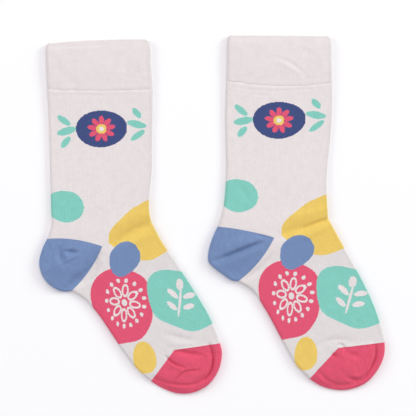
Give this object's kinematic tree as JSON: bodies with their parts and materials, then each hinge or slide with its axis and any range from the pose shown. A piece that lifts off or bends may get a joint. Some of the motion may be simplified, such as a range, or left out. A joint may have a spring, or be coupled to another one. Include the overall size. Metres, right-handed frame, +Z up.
{
  "type": "pair of socks",
  "caption": "Pair of knitted crew socks laid flat on their sides, each a folded tube with a welt cuff, a wedge heel pocket and a rounded toe pocket.",
  "frame": {"origin": "middle of the ground that both socks cover, on the surface they lie on", "axes": "+Z up from the surface, +Y from the toes up the legs to the cuffs, +X from the heels to the toes"},
  "size_m": [0.3006, 0.311, 0.0062],
  "materials": {
    "cuff_rib": "white elastic double welt, fine rib",
    "body_jersey": "white single jersey with knitted-in colours",
    "heel_knit": "blue short-row knit",
    "toe_knit": "rose short-row knit"
  },
  "bodies": {
    "root": {"left_cuff": "cuff_rib", "left_leg_foot": "body_jersey", "left_heel": "heel_knit", "left_toe": "toe_knit", "right_cuff": "cuff_rib", "right_leg_foot": "body_jersey", "right_heel": "heel_knit", "right_toe": "toe_knit"}
  },
  "joints": []
}
